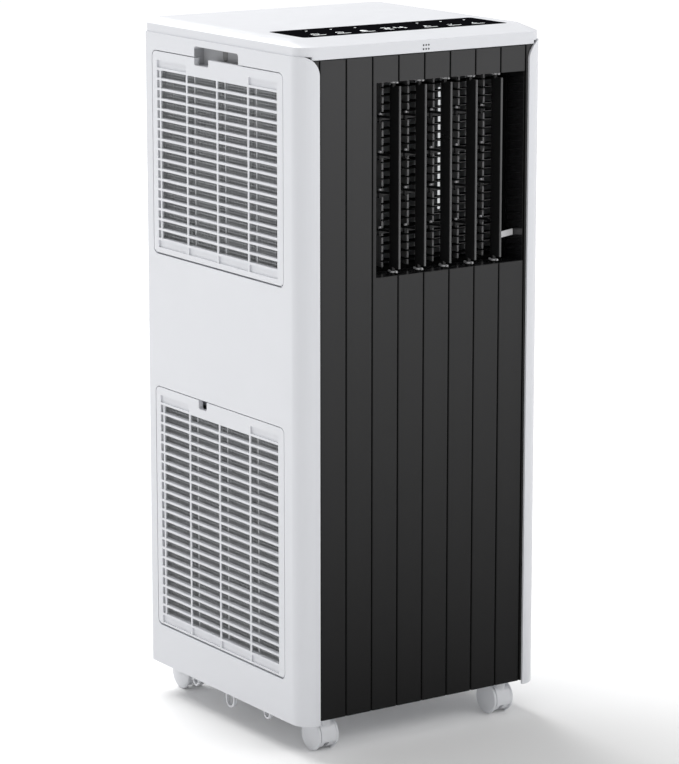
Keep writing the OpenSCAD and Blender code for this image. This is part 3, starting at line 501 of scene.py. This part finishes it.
def grille_pieces():
    """The safety grille: notched upright ribs, thin fins through their notches, and a frame. The ribs' grey
    is painted light on their lit faces, the fins' and frame's near black is painted shade, and the grey lips
    on the fins' fronts are painted highlights.
    """
    lo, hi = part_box("outlet_grille")
    ribs = [vane_pivot(number).x + 3.5 * MM for number in VANES]
    row = 8 * MM
    rows = int((hi.z - lo.z) / row)
    rib, web, web_front = 1 * MM, 0.5 * MM, lo.y + 3 * MM
    tooth_foot, tooth_top = 1.5 * MM, 7.6 * MM
    bm = bmesh.new()
    for x in ribs:
        for k in range(rows):
            z = lo.z + k * row
            add_box(bm, (x - rib, lo.y, z + tooth_foot), (x + rib, hi.y, z + tooth_top))
        add_box(bm, (x - web, web_front, lo.z), (x + web, hi.y, hi.z))
    # The ribs' grey is painted light on the faces that the light reaches
    piece("outlet_grille_ribs", bm, GREY_PAINTED_LIGHT_AND_SHADE, "root", ("outlet_grille",))

    # The fins and frame are near black as painted shade
    fin, border = 0.9 * MM, 3 * MM
    bm = bmesh.new()
    for k in range(1, rows):
        z = lo.z + k * row
        add_box(bm, (ribs[0], lo.y + 1 * MM, z), (hi.x, hi.y - 3 * MM, z + fin))
    for x in (lo.x, hi.x - border):
        add_box(bm, (x, lo.y, lo.z), (x + border, hi.y, hi.z))
    for z in (lo.z, hi.z - border):
        add_box(bm, (lo.x, lo.y, z), (hi.x, hi.y, z + border))
    piece("outlet_grille_fins", bm, PAINTED_SHADE_BLACK, "root")

    # Grey lips on the fins' fronts: painted highlights along their edges
    lip_front, lip_back, lip = lo.y + 0.8 * MM, lo.y + 1.4 * MM, 0.35 * MM
    ends = ribs[1:] + [hi.x + 6 * MM]
    bm = bmesh.new()
    for left, right in list(zip(ribs, ends))[2:]:
        for k in range(2, rows - 1):
            z = lo.z + k * row + fin
            add_box(bm, (left + 2 * MM, lip_front, z), (right - 9 * MM, lip_back, z + lip))
    piece("outlet_grille_fin_highlights", bm, GREY_PAINTED_LIGHT_AND_SHADE, "root")


def outlet_pieces():
    """A pale strip in the blower's mouth, and a sloping bar in the last bay, both glowing as painted light.
    """
    # The strip glows: painted light
    glow_strip_lo = Vector((52, -89.6, 515)) * MM
    glow_strip_hi = Vector((53.8, -88, 634)) * MM
    bm = bmesh.new()
    add_box(bm, glow_strip_lo, glow_strip_hi)
    piece("mouth_glow_strip", bm, ICON_WHITE_AND_PAINTED_GLOW, "root", width=0.2 * MM)

    bar_lo = Vector((104, -122, 486)) * MM
    bar_hi = Vector((118.9, -120.5, 492)) * MM
    slope = 0.12
    bm = bmesh.new()
    add_box(bm, bar_lo, bar_hi)
    for vert in bm.verts:
        vert.co.z += (vert.co.x - bar_lo.x) * slope
    piece("last_bay_bar", bm, BAR_PAINTED_GLOW, "root", width=0.3 * MM)


# ---- Casing details ----

def microphone_holes():
    """Dark mesh behind the six small holes in the band of the top cover."""
    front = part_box("top_cover")[0].y - 0.1 * MM
    across, apart, band_z = 3 * MM, 1.875 * MM, 681.6 * MM
    radius, depth = 0.9 * MM, 0.4 * MM
    bm = bmesh.new()
    for column in (-1, 0, 1):
        for level in (-1, 1):
            place = (column * across, front, band_z + level * apart)
            add_lathe(bm, [(0, radius), (depth, radius)], place, (0, 1, 0), 16)
    piece("microphone_mesh", bm, MATERIALS["inner_black"], "root")


def groove_shadows():
    """Black strips deep in the grooves between the planks: painted shade."""
    lo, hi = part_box("front_panel")
    opening_lo, opening_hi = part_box("outlet_grille")
    pitch, half, inset = 29.89 * MM, 0.62 * MM, 0.3 * MM
    front, back = lo.y + 0.35 * MM, lo.y + 1.6 * MM
    bm = bmesh.new()
    for k in range(-4, 5):
        x = k * pitch
        spans = [(lo.z, hi.z)]
        if opening_lo.x < x < opening_hi.x:
            spans = [(lo.z, opening_lo.z), (opening_hi.z, hi.z)]
        for start, end in spans:
            add_box(bm, (x - half, front, start + inset), (x + half, back, end - inset))
    piece("groove_shadows", bm, PAINTED_SHADE_BLACK, "root")


def recess_painted_shade():
    """Painted shade inside the finger recess: grey sheets on its walls, and the keyhole of the cover's lock
    as a darker grey shape. The recess is shallow above the cover's top edge, and deeper behind it."""
    y0, y1, z0, z1 = -32.3 * MM, 47.4 * MM, 655.2 * MM, 673.4 * MM
    front, middle, back = -141.7 * MM, -136.3 * MM, -131.1 * MM
    thin, corner, cover_top, lip_end = 0.2 * MM, 2.5 * MM, 663.6 * MM, 19.5 * MM
    bm = bmesh.new()
    add_box(bm, (back - thin, y0, z0), (back, y1, z1))
    add_box(bm, (front, y0 + corner, z1 - thin), (back, y1 - corner, z1))
    for y in (y0, y1 - thin):
        add_box(bm, (middle, y, z0), (back, y + thin, z1 - corner))
        add_box(bm, (front, y, cover_top), (middle, y + thin, z1 - corner))
    add_box(bm, (middle, y0, z0), (back, lip_end, z0 + thin))
    piece("recess_painted_shade", bm, RECESS_SHADE_GREY, "root")

    # The keyhole's darker grey is painted shade where the slot is
    key_y, key_z, key_top, radius, steps = 7 * MM, 666 * MM, 673 * MM, 4.5 * MM, 16
    keyhole = [(key_y + radius * math.cos(a), key_z + radius * math.sin(a))
               for a in (math.pi * (1 + k / steps) for k in range(steps + 1))]
    keyhole += [(key_y + radius, key_top), (key_y - radius, key_top)]
    bm = bmesh.new()
    outer, inner = [[bm.verts.new((x, y, z)) for y, z in keyhole] for x in (back - 2 * thin, back - thin)]
    bm.faces.new(outer)
    bm.faces.new(inner[::-1])
    for k in range(len(keyhole)):
        n = (k + 1) % len(keyhole)
        bm.faces.new((outer[k], inner[k], inner[n], outer[n]))
    piece("recess_keyhole_shade", bm, GREY_PAINTED_LIGHT_AND_SHADE, "root")


# ---- Touch controls ----

def ring_outline(cx, cy, r_out, r_in, a0=0.0, a1=360.0, steps=24):
    """The outline of an open ring, from angle a0 to a1 in degrees."""
    angles = [math.radians(a0 + (a1 - a0) * k / steps) for k in range(steps + 1)]
    outer = [(cx + r_out * math.cos(a), cy + r_out * math.sin(a)) for a in angles]
    inner = [(cx + r_in * math.cos(a), cy + r_in * math.sin(a)) for a in reversed(angles)]
    return outer + inner


def bar_outline(cx, cy, length, width, angle=0.0):
    """A straight bar, turned by an angle in degrees."""
    a = math.radians(angle)
    corners = ((-1, -1), (1, -1), (1, 1), (-1, 1))
    half = [(sx * length / 2, sy * width / 2) for sx, sy in corners]
    return [(cx + x * math.cos(a) - y * math.sin(a), cy + x * math.sin(a) + y * math.cos(a)) for x, y in half]


def power_symbol(cx, cy, r):
    """An open ring with an upright bar in its gap."""
    return [ring_outline(cx, cy, r, r * 0.76, 120, 420), bar_outline(cx, cy + r * 0.7, r * 0.9, r * 0.24, 90)]


def fan_symbol(cx, cy, r):
    """Three slanted blades round a hub."""
    blades = [bar_outline(cx + r * 0.6 * math.cos(math.radians(a)), cy + r * 0.6 * math.sin(math.radians(a)),
                          r * 0.85, r * 0.42, a + 25) for a in (90, 210, 330)]
    return blades + [ring_outline(cx, cy, r * 0.2, r * 0.02)]


def clock_symbol(cx, cy, r):
    """A ring with two hands."""
    return [ring_outline(cx, cy, r, r * 0.8), bar_outline(cx, cy + r * 0.3, r * 0.6, r * 0.16, 90),
            bar_outline(cx + r * 0.22, cy, r * 0.45, r * 0.16)]


def moon_symbol(cx, cy, r):
    """A crescent."""
    steps = 16
    outer = [(cx + r * math.cos(a), cy + r * math.sin(a))
             for a in (math.radians(50 + 260 * k / steps) for k in range(steps + 1))]
    inner = [(cx + r * 0.45 + r * 0.8 * math.cos(a), cy + r * 0.8 * math.sin(a))
             for a in (math.radians(285 - 210 * k / steps) for k in range(steps + 1))]
    return [outer + inner]


def arrow_symbol(cx, cy, r, way):
    """An arrow head that points up where way is 1, and down where it is -1."""
    return [bar_outline(cx - r * 0.33, cy, r * 1.1, r * 0.22, 50 * way),
            bar_outline(cx + r * 0.33, cy, r * 1.1, r * 0.22, -50 * way)]


def digit_outlines(cx, cy, height, segments):
    """One seven-segment digit. The segments are named a to g, as on any such display."""
    width = height * 0.55
    thick = height * 0.12
    half = height / 2
    places = {
        "a": (cx, cy + half, 0), "g": (cx, cy, 0), "d": (cx, cy - half, 0),
        "b": (cx + width / 2, cy + half / 2, 90), "c": (cx + width / 2, cy - half / 2, 90),
        "e": (cx - width / 2, cy - half / 2, 90), "f": (cx - width / 2, cy + half / 2, 90)}
    return [bar_outline(*places[s][:2], (width if places[s][2] == 0 else half) - thick, thick, places[s][2])
            for s in segments]


def control_marks():
    """Generic touch symbols, lamps and a two-digit display on the glass."""
    lo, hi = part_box("control_glass")
    centre = (lo.x + hi.x) / 2
    key_y = lo.y + 0.34 * (hi.y - lo.y)
    lamp_y = lo.y + 0.76 * (hi.y - lo.y)
    pitch, gap, r, ink = 28 * MM, 0.3, 4.2 * MM, 0.05 * MM
    symbols = {-3: power_symbol, -2: clock_symbol, -1: moon_symbol, 1: fan_symbol,
               2: lambda x, y, s: arrow_symbol(x, y, s, -1), 3: lambda x, y, s: arrow_symbol(x, y, s, 1)}
    outlines = []
    for k, symbol in symbols.items():
        x = centre + (k + (gap if k > 0 else -gap)) * pitch
        outlines += symbol(x, key_y, r)
        outlines.append(bar_outline(x, key_y - 1.9 * r, 3.6 * r, 0.35 * r))
        outlines.append(ring_outline(x + 1.8 * r, lamp_y, 0.3 * r, 0.02 * r, steps=10))
    digit_x, digit_y, digit_h = 7.5 * MM, key_y + 3 * MM, 14 * MM
    for x, segments in ((centre - digit_x, "abged"), (centre + digit_x, "fgbc")):
        outlines += digit_outlines(x, digit_y, digit_h, segments)
    bm = bmesh.new()
    for outline in outlines:
        add_prism(bm, outline, hi.z, hi.z + ink)
    piece("control_marks", bm, ICON_WHITE_AND_PAINTED_GLOW, "root")


# ---- Stage ----

def soft_light(name, place, target, size, power):
    """A rectangular light that faces a target."""
    light = bpy.data.lights.new(name, "AREA")
    light.shape = "RECTANGLE"
    light.size, light.size_y = size
    light.energy = power
    obj = bpy.data.objects.new(name, light)
    bpy.context.scene.collection.objects.link(obj)
    obj.location = place
    obj.rotation_euler = (Vector(place) - Vector(target)).to_track_quat("Z", "Y").to_euler()


def studio():
    """A pale floor, a white surround and three soft lights, the largest of them behind."""
    white = (1, 1, 1, 1)
    world = bpy.data.worlds.new("studio")
    bpy.context.scene.world = world
    world.use_nodes = True
    world.node_tree.nodes["Background"].inputs["Color"].default_value = white
    world.node_tree.nodes["Background"].inputs["Strength"].default_value = 0.5

    bpy.ops.mesh.primitive_plane_add(size=60)
    floor = bpy.context.object
    floor.name = "studio_floor"
    n = Nodes("studio_floor")
    mottle = n.spread(n.noise(3, 2), 0, 1)
    n.link(n.blend(mottle, (0.88, 0.88, 0.88), (0.9, 0.9, 0.9)), n.shader.inputs["Base Color"])
    away = n.add("ShaderNodeVectorMath", operation="LENGTH")
    n.link(n.place, away.inputs[0])
    near, far, dim, bright = 0.6, 3.0, 0.03, 0.6
    glow = n.ramp(away.outputs["Value"], near, far, dim, bright)
    n.link(glow, n.shader.inputs["Emission Strength"])
    n.set(Roughness=0.9, Specular_IOR_Level=0.1, Emission_Color=white)
    floor.data.materials.append(n.material)

    soft_light("sky_panel", (-0.3, 2.4, 3.2), (0, 0, 0), (3.0, 2.0), 150)
    soft_light("key", (-2.8, -0.8, 1.6), (0, 0, 0.35), (2.0, 1.6), 6)
    soft_light("front_card", (0.9, -1.7, 1.5), (0, -0.14, 0.6), (1.2, 0.8), 12)


def camera():
    """The viewpoint: to the left of the front, a little above the top."""
    azimuth, elevation = math.radians(-33.88), math.radians(12.17)
    back = Vector((math.sin(azimuth) * math.cos(elevation), -math.cos(azimuth) * math.cos(elevation),
                   math.sin(elevation)))
    data = bpy.data.cameras.new("camera")
    data.lens = 157.6
    data.sensor_width = 36
    data.clip_end = 200
    obj = bpy.data.objects.new("camera", data)
    bpy.context.scene.collection.objects.link(obj)
    obj.location = (-1.8292, -2.7181, 1.0387)
    obj.rotation_euler = back.to_track_quat("Z", "Y").to_euler()
    bpy.context.scene.camera = obj


bpy.context.scene.view_settings.view_transform = "Standard"
camera()
studio()
paint_nodes()
filter_pieces("upper_air_filter", "upper_cover")
filter_pieces("lower_air_filter", "lower_cover")
coil_pieces("evaporator_coil")
coil_pieces("condenser_coil")
for vane_number in VANES:
    vane_pieces(vane_number)
grille_pieces()
outlet_pieces()
microphone_holes()
groove_shadows()
recess_painted_shade()
control_marks()
